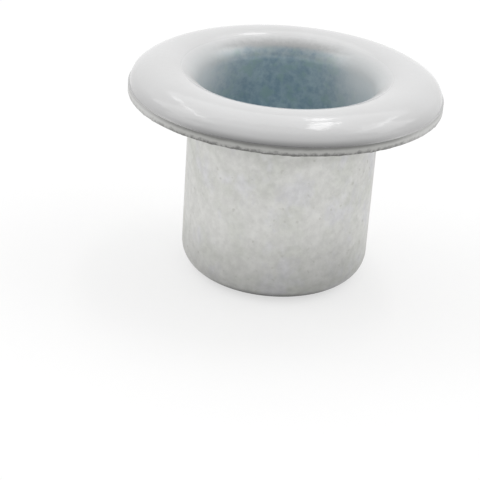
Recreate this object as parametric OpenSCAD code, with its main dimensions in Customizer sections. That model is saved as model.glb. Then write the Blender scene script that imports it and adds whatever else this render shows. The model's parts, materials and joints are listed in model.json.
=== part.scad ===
// Long-barrel grommet eyelet, deep-drawn from one round of sheet metal.
// It stands on its barrel's end, with the flange up and the bore along Z.
// The section is one gauge of sheet all the way: pierced nose, straight barrel,
// bell throat, level crown, dome, and a lip trimmed off just past its crease.

/* [Sheet] */
// Gauge of the sheet
sheet_t = 0.25; // [0.1:0.01:0.4]

/* [Barrel] */
// Diameter of the bore through the barrel
bore_d = 5; // [3:0.1:20]
// Reach of the barrel below the flange's underside
barrel_reach = 5.35; // [2:0.05:12]
// Outside radius of the nose that closes in at the barrel's end
nose_r = 0.75; // [0.5:0.05:1.2]
// How far the pierced edge stands in from the bore
pierce_in = 0.25; // [0.05:0.01:0.3]

/* [Throat] */
// Face radius of the bell throat, next to the crown
throat_r = 1.3; // [0.9:0.05:2]
// Inside bend radius where the throat leaves the barrel
throat_bend_r = 0.3; // [0.05:0.01:0.4]

/* [Flange] */
// Width of the level ring along the top of the crown
crown_w = 0.04; // [0.02:0.01:3]
// Face radius of the dome, next to the crown
dome_r = 1.25; // [0.9:0.05:3]
// Inside bend radius where the dome turns down to the lip
shoulder_bend_r = 0.175; // [0.05:0.005:0.4]
// How far the trimmed lip stands out from the dome
lip_w = 0.04; // [0.02:0.01:2]

/* [Hidden] */
$fn = 180;

// Slope angle at which a wide arc passes into a tight bend, from a 3-4-5 triangle
meet = atan2(4, 3);

bore_r = bore_d / 2;
barrel_r = bore_r + sheet_t;
crown_in_r = bore_r + turn_width(throat_r, throat_bend_r);
crown_out_r = crown_in_r + crown_w;
crease_r = crown_out_r + turn_width(dome_r, shoulder_bend_r);
flange_r = crease_r + lip_w;

lip_top = barrel_reach + sheet_t;
crown_top = lip_top + turn_height(dome_r, shoulder_bend_r);
throat_base = crown_top - turn_height(throat_r, throat_bend_r);

// The nose is a quarter bend cut short by the piercing, whose edge is the lowest point
pierce_r = bore_r - pierce_in;
nose_centre_r = barrel_r - nose_r;
nose_top = sqrt(pow(nose_r, 2) - pow(pierce_r - nose_centre_r, 2));

// Width and height that the sheet's face takes to turn from level to upright
function turn_width(wide_r, bend_r) =
    wide_r * cos(meet) + (bend_r + sheet_t) * (1 - cos(meet));
function turn_height(wide_r, bend_r) =
    wide_r * (1 - sin(meet)) + (bend_r + sheet_t) * sin(meet);

// Flat sheet between two corners of its section
module strip(low, high) {
    polygon([low, [high.x, low.y], high, [low.x, high.y]]);
}

// Slice of a disc about the origin, from one angle round to another
module slice(r, from, to) {
    reach = 2 * r;
    intersection() {
        circle(r = r);
        polygon([
            [0, 0],
            for (turn = [from, (from + to) / 2, to]) reach * [cos(turn), sin(turn)]
        ]);
    }
}

// Sheet bent about a centre, from one angle round to another
module bend(centre, inside_r, from, to) {
    translate(centre)
        difference() {
            slice(inside_r + sheet_t, from, to);
            if (inside_r > 0) circle(r = inside_r);
        }
}

// Everything inside one skin of a crown turn. The small disc touches the wide arc
// from within, just where that arc ends, and overlaps its slice from there down.
module inside_skin(wide_centre, wide_r, tight_centre, tight_r) {
    translate(wide_centre)
        slice(wide_r, meet, 90 + meet);
    translate(tight_centre)
        circle(r = tight_r);
}

// Sheet that leaves a level crown in a wide arc and turns upright in a tight bend.
// Its origin is the foot of the upright end, below the start of the wide arc.
module crown_turn(wide_r, bend_r) {
    width = turn_width(wide_r, bend_r);
    height = turn_height(wide_r, bend_r);
    tight_r = bend_r + sheet_t;
    wide_centre = [0, height - wide_r];
    tight_centre = [width - tight_r, 0];
    intersection() {
        strip([0, 0], [width, height]);
        difference() {
            inside_skin(wide_centre, wide_r, tight_centre, tight_r);
            inside_skin(wide_centre, wide_r - sheet_t, tight_centre, bend_r);
        }
    }
}

// Barrel's end: the punch nose, pierced straight down
module nose_section() {
    intersection() {
        bend([nose_centre_r, nose_top], nose_r - sheet_t, -90, 0);
        strip([pierce_r, 0], [barrel_r, nose_top]);
    }
}

module barrel_section() {
    strip([bore_r, nose_top], [barrel_r, throat_base]);
}

module throat_section() {
    translate([crown_in_r, throat_base])
        mirror([1, 0])
            crown_turn(throat_r, throat_bend_r);
}

module crown_section() {
    strip([crown_in_r, crown_top - sheet_t], [crown_out_r, crown_top]);
}

module dome_section() {
    translate([crown_out_r, lip_top])
        crown_turn(dome_r, shoulder_bend_r);
}

// The sheet turns out sharply at the crease and is trimmed off close to it
module lip_section() {
    bend([crease_r, lip_top], 0, 180, 270);
    strip([crease_r, barrel_reach], [flange_r, lip_top]);
}

module eyelet() {
    color("gainsboro")
        rotate_extrude()
            union() {
                nose_section();
                barrel_section();
                throat_section();
                crown_section();
                dome_section();
                lip_section();
            }
}

eyelet();
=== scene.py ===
import json
import math

import bmesh
import bpy
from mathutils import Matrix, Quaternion, Vector, noise


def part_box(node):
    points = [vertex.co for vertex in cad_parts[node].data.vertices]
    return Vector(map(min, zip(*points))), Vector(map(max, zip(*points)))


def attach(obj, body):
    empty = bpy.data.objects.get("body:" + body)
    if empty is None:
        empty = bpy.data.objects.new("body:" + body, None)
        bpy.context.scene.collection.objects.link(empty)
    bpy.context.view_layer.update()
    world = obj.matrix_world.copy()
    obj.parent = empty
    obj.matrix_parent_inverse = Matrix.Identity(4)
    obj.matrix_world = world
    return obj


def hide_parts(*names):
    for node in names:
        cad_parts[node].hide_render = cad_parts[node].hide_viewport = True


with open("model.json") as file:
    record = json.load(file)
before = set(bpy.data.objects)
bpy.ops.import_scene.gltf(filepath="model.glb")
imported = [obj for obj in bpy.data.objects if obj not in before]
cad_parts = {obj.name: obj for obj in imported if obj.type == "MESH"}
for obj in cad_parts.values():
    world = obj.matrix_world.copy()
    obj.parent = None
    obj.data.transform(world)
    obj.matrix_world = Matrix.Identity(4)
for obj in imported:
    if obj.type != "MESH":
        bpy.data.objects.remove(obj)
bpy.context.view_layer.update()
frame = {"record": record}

# The frame is in metres, the eyelet is drawn here in millimetres
mm = 0.001
mounts = {m["name"]: m for m in frame["record"]["mounts"]}
boreR = mounts["bore"]["dims"]["r_mm"]
barrelR = mounts["barrel"]["dims"]["r_mm"]
piercedR = mounts["pierced_end"]["dims"]["r_mm"]
rimZ = mounts["flange_rim"]["pos_m"][2] / mm   # underside of the flange's trimmed edge
gauge = barrelR - boreR
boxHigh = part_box("eyelet")[1]
flangeR = round(boxHigh.x / mm, 2)
crownZ = round(boxHigh.z / mm, 3)


# Node helpers

def newMaterial(name):
    mat = bpy.data.materials.new(name)
    mat.use_nodes = True
    tree = mat.node_tree
    return mat, tree, tree.nodes["Principled BSDF"]


def addNode(tree, kind, inputs=None, **settings):
    # an input is another node's output or a plain value
    node = tree.nodes.new(kind)
    for key, value in settings.items():
        setattr(node, key, value)
    for key, value in (inputs or {}).items():
        if isinstance(value, bpy.types.NodeSocket):
            tree.links.new(value, node.inputs[key])
        else:
            node.inputs[key].default_value = value
    return node


def mathNode(tree, operation, a, b=0.0, clamp=False):
    node = addNode(tree, "ShaderNodeMath", {0: a, 1: b}, operation=operation, use_clamp=clamp)
    return node.outputs[0]


def product(tree, first, *others):
    for other in others:
        first = mathNode(tree, "MULTIPLY", first, other)
    return first


def rampTo(tree, value, low, high, start=0.0, end=1.0):
    # smooth step from start at low to end at high
    node = addNode(tree, "ShaderNodeMapRange", {
        "Value": value, "From Min": low, "From Max": high, "To Min": start, "To Max": end,
    }, interpolation_type="SMOOTHSTEP")
    return node.outputs["Result"]


def rampAboveRim(tree, height, span, start=0.0, end=1.0):
    low, high = span
    return rampTo(tree, height, rimZ + low, rimZ + high, start, end)


def mixColour(tree, factor, a, b, blend="MIX"):
    node = addNode(tree, "ShaderNodeMix", {0: factor, 6: a, 7: b}, data_type="RGBA", blend_type=blend)
    return node.outputs[2]


def shaded(tree, colour, shade):
    return mixColour(tree, 1.0, colour, shade, "MULTIPLY")


def mixValue(tree, factor, a, b):
    return addNode(tree, "ShaderNodeMix", {0: factor, 2: a, 3: b}, data_type="FLOAT").outputs[0]


def millimetres(tree, stretch=(1, 1, 1)):
    # object coordinates in millimetres, squeezed where a pattern runs lengthwise
    coords = addNode(tree, "ShaderNodeTexCoord")
    scale = [s / mm for s in stretch]
    node = addNode(tree, "ShaderNodeMapping", {"Vector": coords.outputs["Object"], "Scale": scale})
    return node.outputs[0]


def placeOf(tree, point):
    # where a point lies: its X and Y, its height, and its radius from the bore's axis
    split = addNode(tree, "ShaderNodeSeparateXYZ", {0: point})
    flat = addNode(tree, "ShaderNodeVectorMath", {0: point, 1: (1, 1, 0)}, operation="MULTIPLY")
    radius = addNode(tree, "ShaderNodeVectorMath", {0: flat.outputs[0]}, operation="LENGTH")
    return {
        "x": split.outputs["X"], "y": split.outputs["Y"], "height": split.outputs["Z"],
        "radius": radius.outputs["Value"],
    }


def frontOf(tree, at, span):
    # 1 along the front, 0 at the sides and back; the span is of Y over the radius
    start, full = span
    return rampTo(tree, mathNode(tree, "DIVIDE", at["y"], at["radius"]), start, full)


def noiseAt(tree, point, perMm, detail=3.0, roughness=0.5):
    return addNode(tree, "ShaderNodeTexNoise", {
        "Vector": point, "Scale": perMm, "Detail": detail, "Roughness": roughness,
    }).outputs["Fac"]


def patches(tree, point, low, high, start=0.0, end=1.0, **pattern):
    # noise that is start where it lies below low, and end where it lies above high
    return rampTo(tree, noiseAt(tree, point, **pattern), low, high, start, end)


def swingAt(tree, point, **pattern):
    # noise about zero
    return mathNode(tree, "SUBTRACT", noiseAt(tree, point, **pattern), 0.5)


def shifted(tree, value, point, amount, **pattern):
    return mathNode(tree, "ADD", value, product(tree, swingAt(tree, point, **pattern), amount))


def relief(tree, point, depth, strength, normal=None, **pattern):
    # bump from noise, its depth in millimetres
    inputs = {"Height": noiseAt(tree, point, **pattern), "Distance": depth * mm, "Strength": strength}
    if normal is not None:
        inputs["Normal"] = normal
    return addNode(tree, "ShaderNodeBump", inputs).outputs[0]


def seenDirectly(tree):
    # 1 for rays that the camera, a reflection or glass sends out
    path = addNode(tree, "ShaderNodeLightPath")
    seen = mathNode(tree, "MAXIMUM", path.outputs["Is Camera Ray"], path.outputs["Is Glossy Ray"])
    return mathNode(tree, "MAXIMUM", seen, path.outputs["Is Transmission Ray"])


# Coating on the face of the flange, thinning out to bare metal in the throat

coat = {
    "paint": (0.685, 0.685, 0.688, 1),
    "paintWarm": (0.664, 0.664, 0.665, 1),
    "warmPatches": {"perMm": 0.5, "detail": 2.0, "low": 0.35, "high": 0.65},
    "paintRoughness": 0.1,
    "peel": {"perMm": 4.5, "detail": 2.0, "depth": 0.008, "strength": 0.6},
    "peelGrain": {"perMm": 14.0, "depth": 0.002, "strength": 0.5},
    "domeSpan": (0.96, 1.04),     # distances out from the bore where the dome begins

    # heights above the rim where the coating has run out and where it is whole, at the
    # front and back of the throat
    "coverSpan": (0.36, 0.88),
    "glossSpan": (0.7, 0.77),     # where it turns glossy
    "spatter": 1.6,
    "droplets": {"perMm": 5.5, "detail": 5.0, "roughness": 0.65},
    "thin": (0.36, 0.365, 0.365, 1),
    "thinRoughness": 0.42,
    "thinCover": (0.0, 0.4),      # shares of cover at which the metal dulls,
    "paintCover": (0.25, 1.0),    # at which the paint hides it
    "metalCover": (0.0, 0.5),     # and at which it stops looking like metal

    # a thin veil of it reaches deeper at the sides, and more so on the right; being paler, it is partly
    # painted light on the bore's side walls
    "mist": (0.74, 0.76, 0.765, 1),
    "mistSpan": (-2.3, 0.25),
    "mistSides": (0.0, 0.85),     # by the square of the distance sideways over the bore's radius
    "mistShift": 0.2,
    "mistFront": 0.35,            # thinner towards the front, where less painted light falls
    "mistFrontSpan": (-1.0, 0.0),
    "mistSpatter": 2.2,
    # painted shade darkens the veil towards the top of the bore
    "mistTopShade": 0.8,
    "mistTopSpan": (0.1, 0.4),

    # the bore's metal: a blue-grey tint of its own, made darker than the barrel's metal as painted shade
    # inside the bore
    "boreMetal": (0.335, 0.45, 0.54, 1),
    "borePale": (0.61, 0.71, 0.74, 1),
    "clouds": {"perMm": 1.6, "detail": 3.0, "roughness": 0.6, "low": 0.35, "high": 0.68},
    "flecks": {"perMm": 4.5, "detail": 2.0, "low": 0.35, "high": 0.65},
    "grain": {"perMm": 11.0, "detail": 3.0, "roughness": 0.7, "low": 0.3, "high": 0.7},
    "grainShare": 0.4,            # of flecks and grain
    "fineShare": 0.7,             # of clouds and both of them
    "boreGreen": (0.46, 0.60, 0.58, 1),
    "greenPatches": {"perMm": 2.4, "detail": 3.0, "roughness": 0.6, "low": 0.48, "high": 0.66, "end": 0.8},
    "boreMetalness": 0.9,
    "boreRoughness": 0.45,
    "topMetalShade": 0.53,        # painted shade: the bare metal is darkened where the throat opens out and faces up
    "topMetalSpan": (0.15, 0.34),

    "creaseShade": 0.55,          # painted shade: the dome darkens towards the crease
    "creaseReach": 0.19,
    "creaseSides": 0.08,          # the share of it that is left at the sides and back
    "lineShade": 0.5,             # and painted shade with dirt darkens the crease itself
    "lineSpan": (-0.005, 0.02),
    "lineSides": 0.3,
    "creaseFront": (-0.7, -1.0),
}


def spattered(tree, cover, droplets, amount):
    # breaks a cover up where it is neither whole nor gone
    uncovered = mathNode(tree, "SUBTRACT", 1.0, cover)
    return mathNode(tree, "ADD", cover, product(tree, droplets, cover, uncovered, amount), clamp=True)


def coatMaterial():
    mat, tree, shader = newMaterial("glossCoating")
    point = millimetres(tree)
    at = placeOf(tree, point)
    height = at["height"]
    domeStart, domeFull = coat["domeSpan"]
    onDome = rampTo(tree, at["radius"], boreR + domeStart, boreR + domeFull)
    droplets = swingAt(tree, point, **coat["droplets"])

    # how whole the coating is: 1 on the flange, 0 down in the bore, with a spattered edge
    whole = spattered(tree, rampAboveRim(tree, height, coat["coverSpan"]), droplets, coat["spatter"])
    whole = mathNode(tree, "MAXIMUM", whole, onDome)

    # the veil below it, partly painted light on the bore's side walls: none at the front and back of the
    # hole, most at its left and right
    sideways = mathNode(tree, "DIVIDE", mathNode(tree, "ADD", at["x"], coat["mistShift"]), boreR)
    sideways = mathNode(tree, "POWER", sideways, 2.0)
    mist = product(
        tree,
        rampAboveRim(tree, height, coat["mistSpan"]),
        rampTo(tree, sideways, *coat["mistSides"]),
        rampTo(tree, at["y"], *coat["mistFrontSpan"], coat["mistFront"], 1.0))
    mist = spattered(tree, mist, droplets, coat["mistSpatter"])

    # bare metal, and what the thin coating and the veil, with its painted light and shade, make of it
    flecks = patches(tree, point, **coat["flecks"])
    fine = mixValue(tree, coat["grainShare"], flecks, patches(tree, point, **coat["grain"]))
    mottle = mixValue(tree, coat["fineShare"], patches(tree, point, **coat["clouds"]), fine)
    # mottled bore metal, whose darkness is partly painted shade
    metal = mixColour(tree, mottle, coat["boreMetal"], coat["borePale"])
    metal = mixColour(tree, patches(tree, point, **coat["greenPatches"]), metal, coat["boreGreen"])
    # painted shade on the bare metal where the throat opens out
    topShade = rampAboveRim(tree, height, coat["topMetalSpan"], 1.0, coat["topMetalShade"])
    metal = shaded(tree, metal, topShade)
    metal = mixColour(tree, rampTo(tree, whole, *coat["thinCover"]), metal, coat["thin"])
    # painted shade on the veil near the top of the bore
    veilShade = rampAboveRim(tree, height, coat["mistTopSpan"], 1.0, coat["mistTopShade"])
    metal = mixColour(tree, mist, metal, shaded(tree, coat["mist"], veilShade))

    # paint, with painted shade towards the crease, strongest at the front
    paint = mixColour(tree, patches(tree, point, **coat["warmPatches"]), coat["paint"], coat["paintWarm"])
    colour = mixColour(tree, rampTo(tree, whole, *coat["paintCover"]), metal, paint)
    front = frontOf(tree, at, coat["creaseFront"])
    lineStart, lineEnd = coat["lineSpan"]
    crease = rampAboveRim(tree, height, (gauge, gauge + coat["creaseReach"]), coat["creaseShade"])
    line = rampAboveRim(tree, height, (gauge + lineStart, gauge + lineEnd), coat["lineShade"])
    for shade, atSides in ((crease, coat["creaseSides"]), (line, coat["lineSides"])):
        share = product(tree, onDome, mixValue(tree, front, atSides, 1.0))
        colour = shaded(tree, colour, mixValue(tree, share, 1.0, shade))
    tree.links.new(colour, shader.inputs["Base Color"])

    covered = mathNode(tree, "MAXIMUM", rampTo(tree, whole, *coat["metalCover"]), mist)
    tree.links.new(mixValue(tree, covered, coat["boreMetalness"], 0.0), shader.inputs["Metallic"])
    gloss = mathNode(tree, "MAXIMUM", rampAboveRim(tree, height, coat["glossSpan"]), onDome)
    coated = mixValue(tree, gloss, coat["thinRoughness"], coat["paintRoughness"])
    tree.links.new(mixValue(tree, gloss, coat["boreRoughness"], coated), shader.inputs["Roughness"])
    peel = relief(tree, point, **coat["peel"])
    tree.links.new(relief(tree, point, normal=peel, **coat["peelGrain"]), shader.inputs["Normal"])
    return mat


# Sheared metal on the flange's trimmed edge, with dirt and painted shade in the crease above it, and
# painted light round the sides

trim = {
    "metal": (0.47, 0.47, 0.455, 1),
    "sideMetal": (0.66, 0.66, 0.65, 1),   # painted light: paler round the sides than at the front
    "front": (-0.5, -0.92),
    # dirt and painted shade in the crease, both weaker round the sides
    "dirt": (0.17, 0.17, 0.165, 1),
    "sideDirt": 0.35,
    "creaseSpan": (-0.13, -0.02),         # from the crease down
    "creaseDirt": 0.85,
    "creaseWaves": {"perMm": 3.0, "detail": 4.0, "amount": 0.06},
    "burrSpan": (-0.01, 0.12),            # from the rim up
    "burrDirt": 0.95,
    "burrNotches": {"perMm": 6.5, "detail": 4.0, "roughness": 0.65, "amount": -0.32},
    "metalness": 0.6,
    "roughness": 0.5,
    "shearStretch": (1, 1, 0.35),         # the shears leave upright marks
    "shearMarks": {"perMm": 14.0, "depth": 0.01, "strength": 0.6},
}


def trimMaterial():
    mat, tree, shader = newMaterial("trimmedEdge")
    point = millimetres(tree)
    at = placeOf(tree, point)
    creaseLow, creaseHigh = trim["creaseSpan"]
    wavy = shifted(tree, at["height"], point, **trim["creaseWaves"])
    crease = rampAboveRim(tree, wavy, (gauge + creaseLow, gauge + creaseHigh), 0.0, trim["creaseDirt"])
    notched = shifted(tree, at["height"], point, **trim["burrNotches"])
    burr = rampAboveRim(tree, notched, trim["burrSpan"], trim["burrDirt"], 0.0)
    front = frontOf(tree, at, trim["front"])
    # dirt with painted shade in the crease, less of it at the sides
    shadeAndDirt = mathNode(tree, "MAXIMUM", crease, burr)
    shadeAndDirt = product(tree, shadeAndDirt, mixValue(tree, front, trim["sideDirt"], 1.0))
    # painted light and shade: paler metal round the sides, darker at the front
    metal = mixColour(tree, front, trim["sideMetal"], trim["metal"])
    tree.links.new(mixColour(tree, shadeAndDirt, metal, trim["dirt"]), shader.inputs["Base Color"])
    shader.inputs["Metallic"].default_value = trim["metalness"]
    shader.inputs["Roughness"].default_value = trim["roughness"]
    marks = relief(tree, millimetres(tree, trim["shearStretch"]), **trim["shearMarks"])
    tree.links.new(marks, shader.inputs["Normal"])
    return mat


# Bare drawn metal on the barrel and the flange's underside

bare = {
    "base": (0.68, 0.68, 0.661, 1),
    "greenish": (0.632, 0.638, 0.608, 1),
    "greenPatches": {"perMm": 1.1, "detail": 4.0, "roughness": 0.6, "low": 0.42, "high": 0.62},
    "bluish": (0.665, 0.665, 0.673, 1),
    "bluePatches": {"perMm": 1.0, "detail": 4.0, "roughness": 0.6, "low": 0.5, "high": 0.66},
    "blueStretch": (1.3, 1.3, 0.9),
    "mottle": {
        "perMm": 4.5, "detail": 4.0, "roughness": 0.6, "low": 0.3, "high": 0.7, "start": 0.94, "end": 1.05},
    "speck": (0.56, 0.56, 0.53, 1),
    "specks": {"perMm": 5.5, "detail": 2.0, "roughness": 0.4, "low": 0.66, "high": 0.76, "end": 0.8},

    # painted shade towards the barrel's end
    "noseShade": 0.64,
    "noseReach": 2.6,
    "lowerAtRight": 0.18,     # the painted nose shade climbs this much per mm from left to right,
    "rightEdge": (1.8, 2.6),  # but painted light keeps it low along the barrel's right edge
    "edgeLift": 0.9,
    "endShade": 0.6,
    "endReach": 0.22,
    "endLine": 0.5,           # painted shade along the front of the barrel's end
    "endLineSpan": (0.12, 0.34),
    "endLineFront": (-0.5, -0.92),
    # painted shadow of the flange on the barrel under the lip
    "underLip": 0.9,
    "underLipSpan": (-1.2, -0.8),

    "metalness": 0.9,
    "roughPatches": {"perMm": 4.0, "low": 0.3, "high": 0.7, "start": 0.47, "end": 0.63},
    "grain": {"perMm": 12.0, "detail": 4.0, "roughness": 0.6, "depth": 0.01, "strength": 0.5},
}


def bareMaterial():
    mat, tree, shader = newMaterial("bareDrawnMetal")
    point = millimetres(tree)
    at = placeOf(tree, point)
    height = at["height"]
    colour = mixColour(tree, patches(tree, point, **bare["greenPatches"]), bare["base"], bare["greenish"])
    blue = patches(tree, millimetres(tree, bare["blueStretch"]), **bare["bluePatches"])
    colour = mixColour(tree, blue, colour, bare["bluish"])
    colour = shaded(tree, colour, patches(tree, point, **bare["mottle"]))
    colour = mixColour(tree, patches(tree, point, **bare["specks"]), colour, bare["speck"])

    # painted shade: darker towards the barrel's end, along the front of its end and under the lip, with
    # painted light along the right edge
    slanted = mathNode(tree, "SUBTRACT", height, product(tree, at["x"], bare["lowerAtRight"]))
    lift = rampTo(tree, at["x"], *bare["rightEdge"], 0.0, bare["edgeLift"])
    nose = rampTo(tree, mathNode(tree, "ADD", slanted, lift), 0.0, bare["noseReach"], bare["noseShade"])
    end = rampTo(tree, height, 0.0, bare["endReach"], bare["endShade"])
    line = rampTo(tree, height, *bare["endLineSpan"], bare["endLine"])
    line = mixValue(tree, frontOf(tree, at, bare["endLineFront"]), 1.0, line)
    underLip = rampAboveRim(tree, height, bare["underLipSpan"], 1.0, bare["underLip"])
    for shade in (nose, end, line, underLip):
        colour = shaded(tree, colour, shade)
    tree.links.new(colour, shader.inputs["Base Color"])

    shader.inputs["Metallic"].default_value = bare["metalness"]
    tree.links.new(patches(tree, point, **bare["roughPatches"]), shader.inputs["Roughness"])
    tree.links.new(relief(tree, point, **bare["grain"]), shader.inputs["Normal"])
    return mat


# The sheet: its section is bent along, cut and then spun round the bore

section = {
    "noseR": 0.75,
    "throatR": 1.3,
    "throatBendR": 0.3,
    "domeR": 1.25,
    "shoulderBendR": 0.175,
    "lipW": 0.04,
    "meet": math.atan2(4, 3),   # slope angle where a wide arc passes into a tight bend
    "stepsPerQuarter": 16,
    "barrelRings": 16,
    "turns": 360,
    "cutGap": 1e-6,
    "mergeGap": 1e-5,
    "edgeBevel": 0.012,
    "bevelSteps": 3,
    "cornerAngle": 40,          # in degrees, sharper corners are bevelled
    "burrBand": (0.03, 0.1),    # height and width of the edge that a burr takes in
    "lipBurr": {"depth": -0.03, "perMm": 3.5, "seed": 3.0},
    "pierceBurr": {"depth": 0.015, "perMm": 2.5, "seed": 11.0},
    "fineBurr": (0.5, 2.7),     # depth and closeness of its finer teeth against the coarse ones
}


def bendSheet(bm, across, centre, degrees):
    # swings the edge across the sheet about a bend's centre
    steps = max(2, math.ceil(abs(degrees) / 90 * section["stepsPerQuarter"]))
    made = bmesh.ops.spin(
        bm, geom=across, cent=(centre[0], 0, centre[1]), axis=(0, 1, 0), dvec=(0, 0, 0),
        angle=math.radians(degrees), steps=steps, use_merge=False, use_duplicate=False)
    return made["geom_last"]


def runSheet(bm, across, offset, steps=1):
    # carries the edge across the sheet straight on
    for _ in range(steps):
        edges = [e for e in across if isinstance(e, bmesh.types.BMEdge)]
        made = bmesh.ops.extrude_edge_only(bm, edges=edges)
        across = [g for g in made["geom"] if not isinstance(g, bmesh.types.BMFace)]
        verts = [v for v in across if isinstance(v, bmesh.types.BMVert)]
        bmesh.ops.translate(bm, verts=verts, vec=(offset[0] / steps, 0, offset[1] / steps))
    return across


def turnSize(wide, tight):
    # width and height that the face takes to turn from level to upright
    width = tight + (wide - tight) * math.cos(section["meet"])
    height = wide - (wide - tight) * math.sin(section["meet"])
    return width, height


def sheetSection(bm):
    s = section
    meetDeg = math.degrees(s["meet"])
    flat = 90 - meetDeg
    noseCentreR = barrelR - s["noseR"]
    noseTop = math.sqrt(s["noseR"] ** 2 - (piercedR - noseCentreR) ** 2)
    throatTight = s["throatBendR"] + gauge
    domeTight = s["shoulderBendR"] + gauge
    throatW, throatH = turnSize(s["throatR"], throatTight)
    domeW = turnSize(s["domeR"], domeTight)[0]
    creaseR = flangeR - s["lipW"]
    crownW = creaseR - domeW - throatW - boreR
    throatBase = crownZ - throatH

    # the back of the sheet is tagged, and the tag follows every bend
    backTag = bm.verts.layers.int.new("back")
    inner = bm.verts.new((boreR, 0, noseTop))
    outer = bm.verts.new((barrelR, 0, noseTop))
    outer[backTag] = 1
    start = [inner, outer, bm.edges.new((inner, outer))]

    # nose, then the piercing punch takes off what reaches past it
    bendSheet(bm, start, (noseCentreR, noseTop), 90)
    bmesh.ops.bisect_plane(
        bm, geom=bm.verts[:] + bm.edges[:] + bm.faces[:], dist=s["cutGap"],
        plane_co=(piercedR, 0, 0), plane_no=(-1, 0, 0), clear_outer=True)

    # barrel, throat, crown, dome and lip
    across = runSheet(bm, start, (0, throatBase - noseTop), s["barrelRings"])
    across = bendSheet(bm, across, (boreR + throatTight, throatBase), meetDeg)
    across = bendSheet(bm, across, (boreR + throatW, crownZ - s["throatR"]), flat)
    across = runSheet(bm, across, (crownW, 0))
    across = bendSheet(bm, across, (creaseR - domeW, crownZ - s["domeR"]), flat)
    across = bendSheet(bm, across, (creaseR - domeTight, rimZ + gauge), meetDeg)
    across = bendSheet(bm, across, (creaseR, rimZ + gauge), -90)
    runSheet(bm, across, (s["lipW"], 0))
    bmesh.ops.remove_doubles(bm, verts=bm.verts, dist=s["mergeGap"])


def spunSheet():
    bm = bmesh.new()
    sheetSection(bm)
    bmesh.ops.delete(bm, geom=bm.faces[:], context="FACES_KEEP_BOUNDARY")
    bmesh.ops.spin(
        bm, geom=bm.verts[:] + bm.edges[:], cent=(0, 0, 0), axis=(0, 0, 1), dvec=(0, 0, 0),
        angle=math.tau, steps=section["turns"], use_merge=True, use_duplicate=False)
    bmesh.ops.remove_doubles(bm, verts=bm.verts, dist=section["mergeGap"])
    bmesh.ops.recalc_face_normals(bm, faces=bm.faces)

    # coated face 0, bare back 1, and the cut ends of the sheet between them 2
    backTag = bm.verts.layers.int["back"]
    for face in bm.faces:
        tagged = sum(v[backTag] for v in face.verts)
        face.material_index = 0 if tagged == 0 else 1 if tagged == len(face.verts) else 2
        face.smooth = True
    bm.verts.layers.int.remove(backTag)
    sharp = math.radians(section["cornerAngle"])
    corners = [e for e in bm.edges if len(e.link_faces) == 2 and e.calc_face_angle() > sharp]
    bmesh.ops.bevel(
        bm, geom=corners, offset=section["edgeBevel"], offset_type="OFFSET",
        segments=section["bevelSteps"], profile=0.5, affect="EDGES", material=-1, clamp_overlap=True)
    return bm


def raggedEdge(verts, depth, perMm, seed):
    # the shears and the piercing punch leave a fine burr that hangs down or stands in
    share, closer = section["fineBurr"]
    for v in verts:
        spot = Vector((v.co.x, v.co.y, 0)) * perMm + Vector((0, 0, seed))
        v.co.z += depth * max(0.0, noise.noise(spot) + share * noise.noise(spot * closer))


def makeEyelet():
    bm = spunSheet()
    bandH, bandW = section["burrBand"]
    lip = [v for v in bm.verts if v.co.z < rimZ + bandH and v.co.xy.length > flangeR - bandW]
    raggedEdge(lip, **section["lipBurr"])
    pierced = [v for v in bm.verts if v.co.z < bandH and v.co.xy.length < piercedR + bandW]
    raggedEdge(pierced, **section["pierceBurr"])
    bmesh.ops.scale(bm, vec=(mm, mm, mm), verts=bm.verts)
    mesh = bpy.data.meshes.new("drawnEyelet")
    bm.to_mesh(mesh)
    bm.free()
    piece = bpy.data.objects.new("drawnEyelet", mesh)
    bpy.context.scene.collection.objects.link(piece)
    for material in (coatMaterial(), bareMaterial(), trimMaterial()):
        mesh.materials.append(material)
    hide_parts("eyelet")
    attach(piece, "root")
    mesh.calc_loop_triangles()
    print("eyelet:", len(mesh.polygons), "faces,", len(mesh.loop_triangles), "triangles")


# Floor, light and camera

studio = {   # lengths in metres
    "floorSize": 3.0,
    "floorSeen": (1.0, 1.0, 1.0, 1),     # to the camera and in reflections
    "floorBounce": (0.45, 0.45, 0.45, 1),
    "floorGlow": 0.6,                    # the share of the seen floor that no shadow dims,
    "glowSpan": (0.03, 0.25),            # rising to all of it away from the eyelet
    "skyDiffuse": 0.6,
    "lampDistance": 0.30,
}

softboxes = [
    # name, elevation and azimuth from +X in degrees, width, height, radiance
    ("overheadSoftbox", 62, 85, 0.34, 0.22, 0.74),
    ("leftSoftbox", 42, 172, 0.20, 0.20, 1.15),
    ("rightSoftbox", 42, 8, 0.20, 0.20, 1.15),
    ("leftFill", 12, 195, 0.16, 0.16, 0.9),
    ("rightFill", 12, -15, 0.16, 0.16, 0.45),
]

# narrow lamps that run from front to back, level over the flange, for the coating's highlights
tubes = [
    # name, x, nearer end, farther end, width, radiance
    ("nearTube", 0.061, 0.015, 0.16, 0.035, 4.8),
    ("farTube", 0.041, 0.20, 0.265, 0.028, 3.8),
    ("rightTube", 0.210, 0.00, 0.22, 0.020, 2.6),
    ("leftTube", -0.187, 0.04, 0.28, 0.016, 3.3),
]


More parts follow.
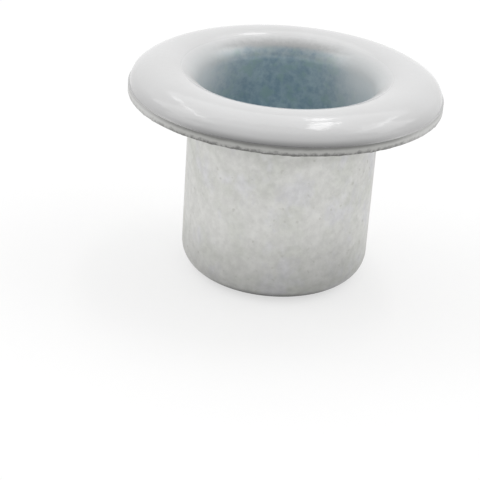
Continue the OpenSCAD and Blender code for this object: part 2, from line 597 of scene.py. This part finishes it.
def makeFloor():
    mesh = bpy.data.meshes.new("floor")
    bm = bmesh.new()
    bmesh.ops.create_grid(bm, x_segments=1, y_segments=1, size=studio["floorSize"])
    bm.to_mesh(mesh)
    bm.free()
    floor = bpy.data.objects.new("floor", mesh)
    bpy.context.scene.collection.objects.link(floor)
    mat, tree, shader = newMaterial("paleFloor")
    seen = seenDirectly(tree)
    colour = mixColour(tree, seen, studio["floorBounce"], studio["floorSeen"])
    at = placeOf(tree, addNode(tree, "ShaderNodeTexCoord").outputs["Object"])
    glow = product(tree, seen, rampTo(tree, at["radius"], *studio["glowSpan"], studio["floorGlow"]))
    colour = shaded(tree, colour, mathNode(tree, "SUBTRACT", 1.0, glow))
    tree.links.new(colour, shader.inputs["Base Color"])
    shader.inputs["Roughness"].default_value = 1.0
    shader.inputs["Specular IOR Level"].default_value = 0.0
    shader.inputs["Emission Color"].default_value = (1, 1, 1, 1)
    tree.links.new(glow, shader.inputs["Emission Strength"])
    mesh.materials.append(mat)
    print("floor laid")


def makeWorld():
    world = bpy.data.worlds.new("tent")
    bpy.context.scene.world = world
    world.use_nodes = True
    tree = world.node_tree
    background = tree.nodes["Background"]
    strength = mixValue(tree, seenDirectly(tree), studio["skyDiffuse"], 1.0)
    tree.links.new(strength, background.inputs["Strength"])
    background.inputs["Color"].default_value = (1, 1, 1, 1)
    print("sky set")


def newLamp(name, width, length, radiance, place):
    lamp = bpy.data.lights.new(name, "AREA")
    lamp.shape = "RECTANGLE"
    lamp.size = width
    lamp.size_y = length
    lamp.energy = radiance * math.pi * width * length
    holder = bpy.data.objects.new(name, lamp)
    holder.location = place
    bpy.context.scene.collection.objects.link(holder)
    return holder


def makeLamps():
    target = Vector((0, 0, rimZ * mm))
    for name, elevation, azimuth, width, height, radiance in softboxes:
        e = math.radians(elevation)
        a = math.radians(azimuth)
        away = Vector((math.cos(e) * math.cos(a), math.cos(e) * math.sin(a), math.sin(e)))
        holder = newLamp(name, width, height, radiance, target + away * studio["lampDistance"])
        holder.rotation_mode = "QUATERNION"
        holder.rotation_quaternion = away.to_track_quat("Z", "Y")
    for name, x, near, far, width, radiance in tubes:
        place = target + Vector((x, (near + far) / 2, studio["lampDistance"]))
        newLamp(name, width, far - near, radiance, place)
    print("lamps:", len(softboxes), "softboxes,", len(tubes), "tubes")


view = {
    "elevation": 20.61,        # degrees above the flange's plane
    "roll": 4.42,
    "distance": 45.0,          # from the middle of the flange's underside, in mm
    "pixelsPerMm": 34.78,      # at that distance, on a frame of 480 pixels
    "aimAt": (285.36, 94.48),  # the pixel where the middle of the flange's underside shows
    "frame": 480,
    "sensor": 36.0,
    "clip": (0.001, 10),
}


def makeCamera():
    v = view
    cam = bpy.data.cameras.new("camera")
    focal = v["pixelsPerMm"] * v["distance"]   # in pixels
    cam.sensor_width = v["sensor"]
    cam.lens = focal / v["frame"] * v["sensor"]
    cam.clip_start, cam.clip_end = v["clip"]
    holder = bpy.data.objects.new("camera", cam)
    bpy.context.scene.collection.objects.link(holder)
    e = math.radians(v["elevation"])
    roll = math.radians(v["roll"])
    away = Vector((0, -math.cos(e), math.sin(e)))
    holder.location = Vector((0, 0, rimZ * mm)) + away * v["distance"] * mm

    # aim so that the flange's middle falls on its pixel, then roll about the lens
    right, down = (p - v["frame"] / 2 for p in v["aimAt"])
    ray = Vector((
        math.cos(roll) * right + math.sin(roll) * down,
        math.sin(roll) * right - math.cos(roll) * down,
        -focal))
    swing = Vector((0, 0, -1)).rotation_difference(ray)
    look = away.to_track_quat("Z", "Y")
    holder.rotation_mode = "QUATERNION"
    holder.rotation_quaternion = look @ swing.inverted() @ Quaternion((0, 0, 1), roll)
    bpy.context.scene.camera = holder
    print("camera set")


makeEyelet()
makeFloor()
makeWorld()
makeLamps()
makeCamera()
bpy.context.scene.view_settings.view_transform = "Standard"
